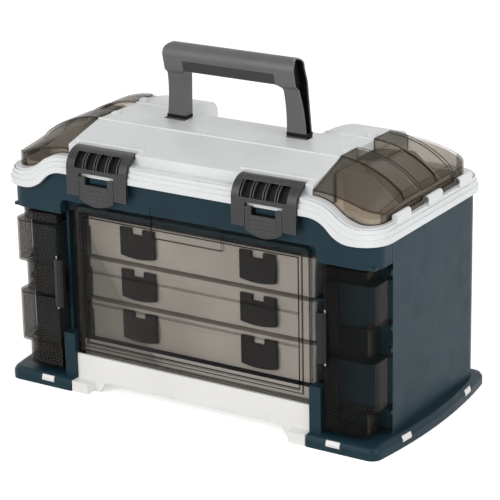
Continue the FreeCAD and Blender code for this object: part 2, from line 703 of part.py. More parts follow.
def lid_top():
    """The silver top: two high ends and a middle with the handle's trough."""
    end = slab("end_outer", "x", end_profile(0, 0), s.trough_half, s.lid_half)
    end_room = slab("end_room", "x", end_profile(s.wall, s.wall), s.trough_half + s.wall,
                    s.lid_half - s.wall)
    middle = slab("middle_outer", "x", trough_profile(0, 0), *wide(s.trough_half))
    under = slab("lid_top_room", "x", trough_profile(s.wall, s.wall),
                 *wide(s.lid_half - s.wall))
    shell = cut("lid_top_shell", fuse("lid_top_solid", end, mirror("end_mirrored", end), middle),
                end_room, mirror("end_room_mirrored", end_room), under)
    ridge_front = box("front_ridge", wide(s.lid_half), (-s.ridge_front - s.ridge_wide / 2,
                                                        -s.ridge_front + s.ridge_wide / 2),
                      (s.lid_top - s.wall, s.lid_top + s.ridge_tall))
    ends = both(lambda: box("back_ridge", (s.trough_half, s.lid_half),
                            (s.ridge_back - s.ridge_wide / 2, s.ridge_back + s.ridge_wide / 2),
                            (s.lid_top - s.wall, s.lid_top + s.ridge_tall)))
    across = (s.lid_half - s.catch_pad - s.skin, s.lid_half - s.skin)
    half = s.catch_pad / 2
    ends += both(lambda: box("front_catch", across, (-s.catch_front - half,
                                                     -s.catch_front + half),
                             (s.lid_top - s.skin, s.lid_top + s.skin)))
    ends += both(lambda: box("back_catch", across, (s.catch_back - half, s.catch_back + half),
                             (s.lid_top - s.skin, s.lid_top + 2 * s.skin)))
    return fuse("lid_top_full", shell, ridge_front, *ends)


def brow_at(front):
    """The height of the lid's sloping brow at a distance in front of the middle."""
    slope = s.lid_top - s.brow_high
    return s.brow_high + slope * (s.brow_front - front) / (s.brow_front - s.ridge_front)


def latch_seat():
    """Solid ground under one latch: bridges the rim and the brow, left of the cuts."""
    across = (s.latch_at - s.latch_half - 2 * s.wall, s.latch_at + s.latch_half + 2 * s.wall)
    top = s.rim_low + s.rim_rise + s.rim_tall
    bridge = box("latch_bridge", across, (-s.rim_front + s.rim_thick, -s.brow_front + s.wall),
                 (top - 4 * s.wall, top))
    behind = s.latch_axis_front - 3 * s.wall
    seat = slab("latch_mount", "x",
                [(-s.brow_front, top - 2 * s.wall), (-behind, top - 2 * s.wall),
                 (-behind, brow_at(behind)), (-s.brow_front, s.brow_high)], *across)
    face = s.latch_axis_front - s.latch_barrel - s.grip_rib - s.clearance
    end = face - s.ledge_deep
    ledge = slab("latch_ledge", "x",
                 [(-face, s.latch_axis_up), (-end, s.latch_axis_up), (-end, brow_at(end)),
                  (-face + s.wall, brow_at(face) + s.ledge_tall),
                  (-face + s.overrun, brow_at(face) + s.ledge_tall),
                  (-face, brow_at(face) + s.overrun)], *across)
    return fuse("latch_seat", bridge, seat, ledge)


def latch_room():
    """What the latch frame needs free of the lid, along one latch."""
    across = (s.latch_at - s.latch_half - s.clearance, s.latch_at + s.latch_half + s.clearance)
    front = -s.rim_front - 3 * s.wall
    face = -s.rim_front + s.rim_thick - s.skin
    top = s.rim_low + s.rim_rise + s.rim_tall
    room = slab("latch_pocket", "x",
                [(front, s.latch_low), (face, s.latch_low), (face, s.latch_knee + s.overrun),
                 (-s.brow_front - 3 * s.wall, top + s.clearance),
                 (-s.brow_front - s.overrun, s.latch_axis_up - s.latch_barrel - s.clearance),
                 (-s.latch_axis_front, s.latch_axis_up - s.latch_barrel - s.clearance),
                 (-s.latch_axis_front, s.latch_axis_up),
                 (-s.latch_axis_front + s.latch_barrel + s.grip_rib + s.clearance,
                  s.latch_axis_up),
                 (-s.latch_axis_front + s.latch_barrel + s.grip_rib + s.clearance, s.lid_top),
                 (front, s.lid_top)], *across)
    barrel = rod("latch_barrel_room", "x", (-s.latch_axis_front, s.latch_axis_up),
                 s.latch_barrel + s.clearance, *across)
    pin = rod("latch_pin_hole", "x", (-s.latch_axis_front, s.latch_axis_up),
              s.latch_pin + s.pin_gap, across[0] - s.ear_wide, across[1] + s.ear_wide)
    return fuse("latch_room", room, barrel, pin)


def leg_slot():
    """The pocket under the handle's leg, as a filled block and the room cut in it."""
    low = s.trough_floor - s.wall
    fill = box("leg_block", (s.leg_in - s.ear_wide - 2 * s.clearance, s.trough_half + s.ear_wide),
               (-s.leg_slot_front - s.wall, s.trough_front + s.wall), (low, s.lid_top))
    room = box("leg_room", (s.leg_in - s.clearance, s.trough_half - 2 * s.clearance),
               (-s.leg_slot_front, s.trough_front + 2 * s.wall), (s.trough_floor, s.lid_top
                                                              + s.overrun))
    pin = rod("leg_pin_hole", "x", (s.handle_axis_back, s.handle_axis_up),
              s.handle_pin + s.pin_gap, s.leg_in - s.ear_wide, s.trough_half + s.wall)
    return fill, room, pin


def end_well():
    """Floor and walls of the compartment at one end of the lid."""
    ring = rim_layer("well_ring", well_plan(0), s.well_low - s.rim_low, s.rim_tall, True)
    hollow = slab("well_hollow", "z", well_plan(s.wall), s.rim_low, s.lid_top)
    floor = slab("well_floor_plan", "z", well_plan(0), s.well_low, s.well_low + s.well_floor)
    between = box("well_between", wide(s.lid_half - s.wall), wide(s.rim_front),
                  (s.rim_low, s.lid_top))
    return cut("end_wells", fuse("well_solid", cut("well_walls", ring, hollow), floor), between)


def dome_blocks():
    """White blocks on the rim between the clear lid's barrels."""
    spans = [(-s.block_end, -s.band_end - s.clearance), wide(s.block_mid),
             (s.band_end + s.clearance, s.block_end)]
    low = s.rim_low + s.rim_tall - s.wall
    parts = []
    for index, span in enumerate(spans):
        parts.append(rod(f"dome_block_{index}", "y", (s.dome_axis_out, s.dome_axis_up),
                         s.dome_barrel, *span))
        parts.append(box(f"dome_block_foot_{index}", (s.dome_axis_out - s.dome_barrel,
                                                      s.dome_axis_out + s.dome_barrel), span,
                         (low, s.dome_axis_up)))
    return fuse("dome_blocks", *parts)


def make_lid():
    inner = slab("rim_inner", "z", rim_plan(s.rim_thick), s.rim_low - s.rim_rise, s.lid_top)
    steps = []
    low = Size.of(0)
    heights = [s.lip_tall, s.rim_tall * 2 / 3, s.rim_tall - s.skin, s.rim_tall]
    for index, high in enumerate(heights):
        plan = rim_plan(index * s.lip_step)
        steps.append(rim_layer(f"rim_step_{index}", plan, low, high))
        low = high
    skirt = cut("rim_skirt", fuse("rim_steps", *steps), inner)
    cap = rim_layer("rim_cap", rim_plan(3 * s.lip_step), s.rim_tall - s.wall, s.rim_tall)
    opening = slab("cap_opening", "z", well_plan(s.wall), s.rim_low - s.rim_rise, s.lid_top)
    cap_ring = cut("rim_cap_ring", cap, opening)
    fill, room, pin = leg_slot()
    seat = latch_seat()
    blocks = dome_blocks()
    half = s.knuckle_wide / 2
    knuckles = fuse("lid_hinge", *hinge_knuckles(
        "lid_knuckle", [(s.hinge_at - half, s.hinge_at + half)],
        (s.rim_back - s.rim_thick, s.hinge_back), (s.hinge_up, s.hinge_up + s.hinge_barrel)))
    sides = []
    for piece in (fill, seat, blocks, knuckles):
        sides += [piece, mirror(piece.Name + "_mirrored", piece)]
    solid = fuse("lid_solid", skirt, cap_ring, end_well(), lid_top(), *sides)
    hinge_bore = rod("lid_hinge_bore", "x", (s.hinge_back, s.hinge_up),
                     s.hinge_pin + s.pin_gap, s.hinge_at - half - s.overrun,
                     s.hinge_at + half + s.overrun)
    dome_bore = rod("dome_bore", "y", (s.dome_axis_out, s.dome_axis_up),
                    s.dome_pin + s.pin_gap, *wide(s.block_end - s.skin))
    half_room = fuse("lid_half_room", room, pin, latch_room(), hinge_bore, dome_bore)
    return cut("lid_shell", solid, half_room, mirror("lid_half_room_mirrored", half_room))


# Handle
def handle_side(inset):
    """The handle seen from the side: a leg that swells and leans forward into the grip."""
    radius = s.grip_round - inset
    middle = s.grip_round - s.grip_front
    bulb = s.grip_high - s.grip_round
    top = bulb + radius
    turn = radius * CORNER_SHARE
    low = s.handle_low + inset
    neck = s.grip_low - s.neck_drop
    return [(-s.leg_deep + inset, low), (-inset, low), (s.neck_back - inset, s.grip_low),
            (middle + radius, bulb), (middle + radius - turn, top - turn, middle, top),
            (middle - radius + turn, top - turn, middle - radius, bulb),
            (-s.swell_front + inset, s.grip_low), (-s.neck_front + inset, neck),
            (-s.leg_mid + inset, (neck + low) / 2, -s.leg_deep + inset, low)]


def handle_front():
    """The handle seen from the front: an arch that narrows a little to its top."""
    turn = s.grip_turn
    turn_in = turn * CORNER_SHARE
    inner = s.leg_in / 7
    inner_in = inner * CORNER_SHARE
    top = s.grip_high
    out = s.leg_top_out
    return [(-s.leg_out, s.handle_low), (-s.leg_in, s.handle_low),
            (-s.leg_in, s.grip_low - inner),
            (-s.leg_in + inner_in, s.grip_low - inner_in, -s.leg_in + inner, s.grip_low),
            (s.leg_in - inner, s.grip_low),
            (s.leg_in - inner_in, s.grip_low - inner_in, s.leg_in, s.grip_low - inner),
            (s.leg_in, s.handle_low), (s.leg_out, s.handle_low),
            (out, s.grip_low), (out, top - turn),
            (out - turn_in, top - turn_in, out - turn, top), (-out + turn, top),
            (-out + turn_in, top - turn_in, -out, top - turn), (-out, s.grip_low)]


def make_handle():
    side = slab("handle_side", "x", handle_side(0), *wide(s.leg_out + s.overrun))
    front = slab("handle_front", "y", handle_front(), -s.grip_front - s.overrun,
                 s.neck_back + s.overrun)
    arch = common("handle_arch", side, front)
    recess = slab("leg_recess_room", "x", handle_side(s.skin), s.leg_top_out - s.leg_recess,
                  s.leg_out + s.overrun)
    strip = box("strip_room", wide(s.grip_strip_half),
                (-s.grip_front - s.overrun, s.grip_round - s.grip_front),
                (s.grip_low - s.overrun, s.grip_low + s.grip_strip))
    bore = rod("handle_bore", "x", (s.handle_axis_back, s.handle_axis_up),
               s.handle_pin + s.pin_gap, *wide(s.leg_out + s.overrun))
    return cut("handle_bow", arch, recess, mirror("leg_recess_mirrored", recess), strip, bore)


def make_grip_strip():
    side = slab("strip_side", "x", handle_side(0), *wide(s.grip_strip_half - s.clearance / 2))
    front = box("strip_block", wide(s.leg_out), (-s.grip_front, s.grip_round - s.grip_front),
                (s.grip_low, s.grip_low + s.grip_strip))
    return common("grip_strip", side, front)


def make_handle_pins():
    pin = rod("handle_pin_right", "x", (s.handle_axis_back, s.handle_axis_up), s.handle_pin,
              s.leg_in - s.ear_wide + s.clearance, s.trough_half + s.wall - s.clearance)
    return fuse("handle_pins", pin, mirror("handle_pin_left", pin))


# Draw latches
def latch_profile():
    """The latch frame seen from the side: an upright plate that curls over the rim."""
    front = -s.latch_front
    back = front + s.latch_thick
    high = s.latch_axis_up + s.latch_barrel
    turn = -s.latch_axis_front - front
    tall = high - s.latch_knee
    inner_back = -s.brow_front - s.overrun
    return [(back, s.latch_low), (back, s.latch_knee), (inner_back - 3 * s.wall + s.overrun,
                                                       s.latch_knee + tall / 2),
            (inner_back, s.latch_axis_up - s.latch_barrel + s.clearance),
            (-s.latch_axis_front, s.latch_axis_up - s.latch_barrel),
            (-s.latch_axis_front, high),
            (front + turn * CORNER_SHARE, high - tall * CORNER_SHARE, front, s.latch_knee),
            (front, s.latch_low)]


def fin_profile():
    """What is open between the fins: all that stands before the frame's back."""
    front = -s.latch_front - s.overrun
    back = -s.latch_front + s.latch_thick - s.fin_back
    middle = s.latch_knee + (s.latch_axis_up + s.latch_barrel - s.latch_knee) / 2
    inner_back = -s.brow_front - s.overrun - s.fin_back
    return [(front, s.latch_knee), (back, s.latch_knee),
            (inner_back - 3 * s.wall + s.overrun, middle), (inner_back, s.fin_top),
            (front, s.fin_top)]


def make_latch_frame():
    across = (s.latch_at - s.latch_half, s.latch_at + s.latch_half)
    plate = slab("latch_plate", "x", latch_profile(), *across)
    barrel = rod("latch_barrel_solid", "x", (-s.latch_axis_front, s.latch_axis_up),
                 s.latch_barrel, *across)
    window = box("latch_window", (s.latch_at - s.window_half, s.latch_at + s.window_half),
                 (-s.latch_front - s.overrun, -s.latch_front + s.latch_thick + s.overrun),
                 (s.latch_low - s.overrun, s.window_top))
    pairs = 4
    span = 2 * (s.latch_half - s.cheek_wide)
    rib_pair = 2 * s.fin_wide + s.fin_slit
    gap_wide = span / pairs - rib_pair
    gaps = []
    for index in range(pairs):
        low = s.latch_at - span / 2 + index * span / pairs
        starts = [(low, low + s.fin_slit), (low + s.fin_slit + s.fin_wide,
                                            low + s.fin_slit + s.fin_wide + gap_wide)]
        for kind, reach in zip(("slit", "gap"), starts):
            gaps.append(box(f"fin_{kind}_{index}", reach,
                            (-s.latch_front - s.overrun, -s.latch_axis_front),
                            (s.latch_knee + s.overrun, s.fin_top)))
    curl = slab("fin_room", "x", fin_profile(), *across)
    gaps = [common("fin_gaps", curl, fuse("fin_boxes", *gaps))]
    pin = rod("latch_frame_bore", "x", (-s.latch_axis_front, s.latch_axis_up),
              s.latch_pin + s.pin_gap, across[0] - s.overrun, across[1] + s.overrun)
    lever_pin = rod("latch_lever_bore", "x", (-s.latch_front + s.latch_thick / 2,
                                              s.lever_axis_up), s.latch_pin + s.pin_gap,
                    s.latch_at - s.window_half - s.ear_wide,
                    s.latch_at + s.window_half + s.ear_wide)
    return cut("latch_frame_right", fuse("latch_frame_solid", plate, barrel), window, pin,
               lever_pin, *gaps)


def lever_outline():
    """The lever seen from the front: two arms on a bar that rounds into a pull tongue."""
    left = s.latch_at - s.lever_half
    right = s.latch_at + s.lever_half
    shoulder = s.lever_low
    return [(left, shoulder), (s.latch_at, s.tongue_low, right, shoulder),
            (right, s.lever_arm_top), (right - s.lever_arm, s.lever_arm_top),
            (right - s.lever_arm, s.lever_bar_top), (left + s.lever_arm, s.lever_bar_top),
            (left + s.lever_arm, s.lever_arm_top), (left, s.lever_arm_top)]


def make_latch_lever():
    front = -s.latch_front
    back = front + s.lever_thick
    plate = moulding("lever_plate", [("Pad", "y", lever_outline(), front, back)])
    ribs = []
    rib_count = 4
    pitch = (s.lever_bar_top - s.tongue_low) / (rib_count + 1)
    for index in range(rib_count):
        low = s.lever_low - s.skin + index * pitch
        half = s.lever_half - s.lever_arm - s.skin / 2 * (index == 0)
        ribs.append(box(f"lever_rib_{index}", (s.latch_at - half, s.latch_at + half),
                        (front - s.grip_rib, front + s.overrun), (low, low + s.skin)))
    bore = rod("lever_bore", "x", (front + s.latch_thick / 2, s.lever_axis_up),
               s.latch_pin + s.pin_gap, s.latch_at - s.lever_half - s.overrun,
               s.latch_at + s.lever_half + s.overrun)
    return cut("latch_lever_right", fuse("lever_solid", plate, *ribs), bore)


def make_latch_pin():
    return rod("latch_pin_right", "x", (-s.latch_axis_front, s.latch_axis_up), s.latch_pin,
               s.latch_at - s.latch_half - s.ear_wide, s.latch_at + s.latch_half + s.ear_wide)


def make_lever_pins():
    centre = (-s.latch_front + s.latch_thick / 2, s.lever_axis_up)
    left = rod("lever_pin_a", "x", centre, s.latch_pin,
               s.latch_at - s.window_half - s.ear_wide + s.clearance,
               s.latch_at - s.lever_half + s.lever_arm - s.overrun)
    right = rod("lever_pin_b", "x", centre, s.latch_pin,
                s.latch_at + s.lever_half - s.lever_arm + s.overrun,
                s.latch_at + s.window_half + s.ear_wide - s.clearance)
    return fuse("lever_pins_right", left, right)


def make_hinge_pins():
    half = s.knuckle_wide * 3 / 2
    pin = rod("hinge_pin_right", "x", (s.hinge_back, s.hinge_up), s.hinge_pin,
              s.hinge_at - half, s.hinge_at + half)
    return fuse("lid_hinge_pins", pin, mirror("hinge_pin_left", pin))


# Clear end lids
def dome_top(fall_in, fall_out, inset):
    """The dome's upper line from its outer edge to the handle's side, seen from the front.

    It falls by one amount at the handle's side and by another at the outer edge.
    """
    drops = (s.dome_edge_drop, s.dome_knee_drop, s.dome_bend_drop, 0)
    shares = (0, s.knee_share, s.bend_share, 1)
    edge, knee, bend, top = [s.dome_high - drop - inset - fall_out - (fall_in - fall_out) * share
                             for drop, share in zip(drops, shares)]
    return [(s.dome_out - inset, edge), (s.dome_knee_out - inset, knee),
            (s.dome_bend, bend, s.dome_flat, top), (s.dome_in, top)]


def dome_section(fall_in, fall_out, inset):
    low = s.rim_low + s.rim_tall + s.clearance - inset
    return [(s.dome_in, low), (s.dome_out - inset, low)] + dome_top(fall_in, fall_out, inset)


def dome_channel(name, inset):
    """What is off between the two bands: a shallow run and a deep finger recess."""
    span = (-s.band_start - inset, s.band_start + inset)
    line = dome_top(s.band_drop, s.band_drop, inset)
    sky = s.open_above + s.wall
    left = s.dome_in - s.overrun
    right = s.dome_out + s.overrun
    run = slab(name + "_run", "y", [(right, line[0][1])] + line
               + [(left, line[-1][-1]), (left, sky), (right, sky)], *span)
    recess = slab(name + "_recess", "y",
                  [(left, s.recess_low - inset), (s.recess_out + inset, s.recess_high - inset),
                   (s.recess_out + inset, sky), (left, sky)], *span)
    return fuse(name, run, recess)


def dome_solid(name, inset):
    """The dome's body: two sloping ends and a middle of two bands with a channel between."""
    join = s.band_end - 2 * inset
    level = dome_section(s.band_drop, s.band_drop, inset)
    front = loft(name + "_front", "y",
                 (-s.dome_front + inset, dome_section(s.front_fall_in, s.front_fall_out, inset)),
                 (-join, level))
    back = loft(name + "_back", "y", (join, level),
                (s.dome_back - inset, dome_section(s.back_fall_in, s.back_fall_out, inset)))
    middle = slab(name + "_bands", "y", dome_section(0, 0, inset), *wide(s.band_end - inset))
    bands = cut(name + "_middle", middle, dome_channel(name + "_channel", inset))
    plan = slab(name + "_plan", "z",
                rounded((s.dome_in - 4 * s.well_round, s.dome_out - inset),
                        (-s.dome_front + inset, s.dome_back - inset), s.well_round - inset,
                        s.well_round - inset), s.rim_low, s.open_above)
    return common(name, fuse(name + "_zones", front, bands, back), plan)


def make_dome():
    outer = dome_solid("dome_outer", Size.of(0))
    room = dome_solid("dome_room", s.skin)
    front_seat = rise(s.rim_tall + s.clearance)
    reach = s.rim_half + s.overrun
    under = s.rim_low - s.overrun
    ground = slab("dome_ground", "y",
                  [(-reach, under), (reach, under), (reach, front_seat[-1][-1])]
                  + backwards(front_seat) + [(-reach, front_seat[0][1])],
                  -s.rim_front, -s.rise_back)
    barrels = []
    for index, span in enumerate([(-s.band_end, -s.band_start + s.clearance),
                                  (s.band_start - s.clearance, s.band_end)]):
        barrels.append(rod(f"dome_barrel_{index}", "y", (s.dome_axis_out, s.dome_axis_up),
                           s.dome_barrel, *span))
        barrels.append(box(f"dome_arm_{index}", (s.dome_out - s.skin, s.dome_axis_out), span,
                           (s.dome_axis_up, s.dome_axis_up + s.dome_barrel)))
    bore = rod("dome_lid_bore", "y", (s.dome_axis_out, s.dome_axis_up),
               s.dome_pin + s.pin_gap, *wide(s.band_end + s.overrun))
    shell = cut("dome_shell", outer, room, ground)
    return cut("end_lid_right", fuse("dome_with_barrels", shell, *barrels), bore)


def make_dome_pin():
    return rod("end_lid_pin_right", "y", (s.dome_axis_out, s.dome_axis_up), s.dome_pin,
               *wide(s.block_end - s.skin - s.clearance))


def make_end_tray():
    """A pale compartment tray whose walls step down toward the outside."""
    outer = slab("tray_outer", "y",
                 [(s.tray_in, s.tray_low), (s.tray_out, s.tray_low),
                  (s.tray_out, s.tray_outer_high),
                  ((s.tray_in + s.tray_out) / 2, s.tray_inner_high), (s.tray_in,
                                                                      s.tray_inner_high)],
                 -s.tray_front + s.tray_front / 3, s.tray_back - s.tray_back / 3)
    low_outer = box("tray_low_outer", (s.tray_in, s.tray_out), (-s.tray_front, s.tray_back),
                    (s.tray_low, s.tray_outer_high - s.wall))
    plan = slab("tray_plan", "z", rounded((s.tray_in - s.well_round, s.tray_out),
                                          (-s.tray_front, s.tray_back), s.well_round * 2 / 3,
                                          s.well_round * 2 / 3), s.tray_low, s.lid_top)
    solid = common("tray_solid", fuse("tray_stack", outer, low_outer), plan)
    rooms = []
    inner_round = s.well_round * 2 / 3 - s.skin
    inner = slab("tray_inner_plan", "z",
                 rounded((s.tray_in - s.well_round, s.tray_out - s.skin),
                         (-s.tray_front + s.skin, s.tray_back - s.skin), inner_round,
                         inner_round), s.tray_low, s.open_above)
    count = 4
    pitch = (s.tray_front + s.tray_back) / count
    for index in range(count):
        near = -s.tray_front + index * pitch
        rooms.append(box(f"tray_room_{index}", (s.tray_in + s.skin, s.tray_out - s.skin),
                         (near + s.skin / 2, near + pitch - s.skin / 2),
                         (s.tray_low + s.skin, s.lid_top)))
    return cut("end_tray_right", solid, common("tray_rooms", inner, fuse("tray_bays", *rooms)))


# Door
def make_door():
    front = -s.door_front
    back = front + s.door_thick
    outline = top_rounded(wide(s.door_half), (s.door_low, s.door_high), s.door_round)
    inner = top_rounded(wide(s.door_half - s.skin), (s.door_low + s.skin, s.door_high - s.skin),
                        s.door_round - s.skin)
    steps = [
        ("Pad", "y", outline, front, front + s.door_deep),
        ("Pocket", "y", inner, back, front + s.door_deep + s.overrun),
        ("Pad", "y", rectangle(wide(s.frame_out), (s.frame_low, s.frame_high)),
         front - s.ridge_stand, back),
        ("Pocket", "y", rectangle(wide(s.frame_in), (s.frame_low + s.skin * 2,
                                                     s.frame_high - s.skin * 2)),
         front - s.ridge_stand - s.overrun, front + s.skin / 2),
        ("Pad", "y", rectangle(wide(s.tab_half), (s.tab_low, s.tab_high)),
         -s.tab_front, back),
    ]
    panel = moulding("door_panel", steps)
    grooves = [box(f"door_groove_{index}", wide(s.frame_in), (front, front + s.skin * 3 / 4),
                   (at - s.skin / 2, at + s.skin / 2))
               for index, at in enumerate((s.shelf_mid, s.shelf_high))]
    pin = rod("door_pin_solid", "x", (-s.door_axis_front, s.door_axis_up), s.door_pin,
              s.door_half - s.skin, s.door_half + s.door_pin_long)
    boss = box("door_boss", (s.door_half - s.skin, s.door_half),
               (front, -s.door_axis_front + s.door_pin), (s.door_axis_up - s.door_pin,
                                                          s.door_axis_up + s.door_pin))
    solid = fuse("door_solid", panel, pin, mirror("door_pin_mirrored", pin), boss,
                 mirror("door_boss_mirrored", boss))
    return cut("front_door", solid, *grooves)


# Corner racks
def rack_plan(narrow, inset):
    """The rack's plan between its inner edge and its rounded outer corner."""
    out = s.rack_out - narrow * s.rack_narrow - inset
    front = -s.case_front + narrow * s.rack_step + inset
    turn = s.rack_round - inset
    turn_in = turn * CORNER_SHARE
    back = -s.rack_back + (s.overrun if inset else 0)
    return [(s.rack_in + inset, front), (out - turn, front),
            (out - turn_in, front + turn_in, out, front + turn), (out, back),
            (s.rack_in + inset, back)]


def make_rack():
    zones = [("foot", 1, s.rack_low, s.shelf_low), ("lower", 0, s.shelf_low, s.shelf_mid),
             ("neck", 1, s.shelf_mid, s.shelf_high), ("upper", 0, s.shelf_high, s.strip_low),
             ("strip", 1, s.strip_low, s.rack_high)]
    skin = s.skin
    rooms = {"foot": (s.rack_low + skin, s.shelf_low + skin),
             "lower": (s.shelf_low + skin, s.shelf_mid - skin),
             "neck": (s.shelf_mid + skin, s.shelf_high + skin),
             "upper": (s.shelf_high + skin, s.strip_low - skin),
             "strip": (s.strip_low + skin, s.rack_high - skin)}
    solids, hollows = [], []
    for name, narrow, low, high in zones:
        solids.append(slab(f"rack_{name}", "z", rack_plan(narrow, 0), low, high))
        hollows.append(slab(f"rack_{name}_room", "z", rack_plan(narrow, skin), *rooms[name]))
    back = (-s.rack_back - skin, -s.rack_back)
    across = (s.rack_in, s.rack_out - s.rack_narrow)
    lips = [box(f"rack_lip_{index}", across, back, (low, low + s.lip_high))
            for index, low in enumerate((s.rack_low, s.shelf_mid))]
    centre = (s.rack_axis_out, -s.rack_axis_front)
    rods = [rod(f"rack_rod_{index}", "z", centre, s.rack_rod, low, high)
            for index, (low, high) in enumerate([(s.strip_low - skin, s.rack_high),
                                                 (s.shelf_mid - skin, s.shelf_high + skin),
                                                 (s.rack_low, s.shelf_low + skin)])]
    ears = []
    for index, low in enumerate((s.rack_low, s.shelf_low, s.shelf_mid - skin, s.shelf_high,
                                 s.strip_low - skin, s.rack_high - skin)):
        ears.append(rod(f"rack_ear_{index}", "z", centre, s.ear_round, low, low + skin))
        ears.append(box(f"rack_arm_{index}", (s.rack_out - s.rack_narrow - skin,
                                              s.rack_axis_out + s.skin / 2),
                        (-s.rack_back - skin, -s.rack_axis_front), (low, low + skin)))
    bosses = [box(f"pull_boss_{index}", (s.rack_in, s.pull_out + s.overrun + s.clearance),
                  (-s.case_front, -s.pull_back + s.skin), (low, low + s.pull_boss))
              for index, low in enumerate((s.pull_low - s.clearance - s.pull_boss,
                                           s.pull_high + s.clearance))]
    shell = cut("rack_shell", fuse("rack_zones", *solids), *hollows)
    solid = fuse("rack_solid", shell, *lips, *rods, *ears)
    return cut("rack_right", fuse("rack_full", solid, *bosses), rack_pull_room())


def rack_pull_room():
    room = box("pull_room", (s.rack_in - s.overrun, s.pull_out + s.overrun + s.clearance),
               (-s.case_front - s.overrun, -s.pull_back + s.overrun + s.clearance),
               (s.pull_low - s.clearance, s.pull_high + s.clearance))
    pin = rod("pull_pin_hole", "z", pull_centre(), s.pull_pin + s.pin_gap,
              s.pull_low - s.pull_boss, s.pull_high + s.pull_boss)
    return fuse("pull_cuts", room, pin)


def pull_centre():
    return (s.pull_out - 2 * s.pull_pin, -s.pull_back - 2 * s.pull_pin)


def make_rack_pull():
    edge = (s.pull_front - s.pull_back) / 3
    outline = [(s.pull_in, -s.pull_back), (s.pull_in, -s.pull_front + edge),
               (s.pull_in + edge, -s.pull_front), (s.pull_out - 2 * edge, -s.pull_front),
               (s.pull_out, -s.pull_back - 2 * edge), (s.pull_out, -s.pull_back)]
    bar = moulding("pull_bar", [("Pad", "z", outline, s.pull_low, s.pull_high)])
    bore = rod("pull_bore", "z", pull_centre(), s.pull_pin + s.pin_gap,
               s.pull_low - s.overrun, s.pull_high + s.overrun)
    return cut("rack_pull_right", bar, bore)


def make_pull_pin():
    return rod("pull_pin_right", "z", pull_centre(), s.pull_pin, s.pull_low - s.pull_boss
               + s.clearance, s.pull_high + s.pull_boss - s.clearance)


# Utility boxes
def box_plan(inset):
    half = s.box_half - inset
    return rounded((-half, half), (-s.box_front + inset, s.box_back - inset),
                   s.box_round - inset, s.box_round - inset)


def make_utility_box(index):
    low = s.box_low + index * s.box_pitch
    split = low + s.box_tall - s.box_lid_tall
    inside = s.skin * 2
    tray = moulding(f"box_tray_{index + 1}", [
        ("Pad", "z", box_plan(s.skin), low, split),
        ("Pocket", "z", box_plan(inside), low + s.skin, split),
    ])
    lid = moulding(f"box_lid_{index + 1}", [
        ("Pad", "z", box_plan(0), split, low + s.box_tall),
        ("Pocket", "z", box_plan(s.skin), split, low + s.box_tall - s.skin),
    ])
    return tray, lid


def make_dividers(index):
    low = s.box_low + index * s.box_pitch + s.skin
    high = s.box_low + index * s.box_pitch + s.box_tall - s.box_lid_tall - s.skin
    half = s.box_half - 2 * s.skin
    walls = [box(f"divider_long_{index}_{row}", wide(half), (at, at + s.divider_thick),
                 (low, high))
             for row, at in enumerate((-s.box_front / 3, s.box_back / 3))]
    crosses = [box(f"divider_{index}_{column}", (at, at + s.divider_thick),
                   (-s.box_front + 2 * s.skin, s.box_back - 2 * s.skin), (low, high))
               for column, at in enumerate((-s.divider_pitch * 2, -s.divider_pitch,
                                            Size.of(0), s.divider_pitch,
                                            s.divider_pitch * 2))]
    return fuse(f"box_dividers_{index + 1}", *walls, *crosses)


def make_box_latches(index):
    low = s.box_low + index * s.box_pitch
    half = s.box_latch_half
    across = (s.box_latch_at - half, s.box_latch_at + half)
    bottom = low + s.box_latch_low
    top = low + s.box_latch_top
    split = low + s.box_tall - s.box_lid_tall
    third = half * 2 / 3
    outline = [(across[0], bottom + s.wall), (s.box_latch_at, bottom, across[1],
                                              bottom + s.wall),
               (across[1], top), (across[1] - third, top), (across[1] - third, split),
               (across[0] + third, split), (across[0] + third, top), (across[0], top)]
    plate = slab(f"box_latch_{index}", "y", outline, -s.box_front - s.box_latch_thick,
                 -s.box_front)
    return fuse(f"box_latches_{index + 1}", plate, mirror(f"box_latch_{index}_left", plate))


def build():
    """Every sub-part by its node name, in the order of assembly."""
    nodes = {"case_shell": make_case(), "case_foot": make_foot(),
             "base_tray": make_base(), "lid_shell": make_lid(),
             "handle_bow": make_handle(), "grip_strip": make_grip_strip(),
             "handle_pins": make_handle_pins(), "lid_hinge_pins": make_hinge_pins(),
             "front_door": make_door()}
    for name, maker in (("latch_frame", make_latch_frame), ("latch_lever", make_latch_lever),
                        ("latch_pin", make_latch_pin), ("lever_pins", make_lever_pins),
                        ("end_lid", make_dome), ("end_lid_pin", make_dome_pin),
                        ("end_tray", make_end_tray), ("rack", make_rack),
                        ("rack_pull", make_rack_pull), ("pull_pin", make_pull_pin)):
        right = maker()
        nodes[name + "_right"] = right
        nodes[name + "_left"] = mirror(name + "_left", right)
    for index in range(3):
        tray, lid = make_utility_box(index)
        nodes[f"box_tray_{index + 1}"] = tray
        nodes[f"box_lid_{index + 1}"] = lid
        nodes[f"box_dividers_{index + 1}"] = make_dividers(index)
        nodes[f"box_latches_{index + 1}"] = make_box_latches(index)
    return nodes


def write(nodes):
    """Checks every object, then writes one STEP file for each node."""
    doc.recompute()
    for obj in doc.Objects:
        if "Invalid" in obj.State or "Error" in obj.State:
            raise RuntimeError(f"{obj.Name} failed: {obj.State}")
    os.makedirs("parts", exist_ok=True)
    for name, obj in nodes.items():
        obj.Label = name
        shape = obj.Shape
        if shape.isNull() or not shape.isValid():
            raise RuntimeError(f"{name} has no valid shape")
        shape.exportStep(f"parts/{name}.step")
        print(f"{name}: {len(shape.Solids)} solid, {len(shape.Faces)} faces")


write(build())
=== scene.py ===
import json
import math

import bpy
from mathutils import Matrix, Vector


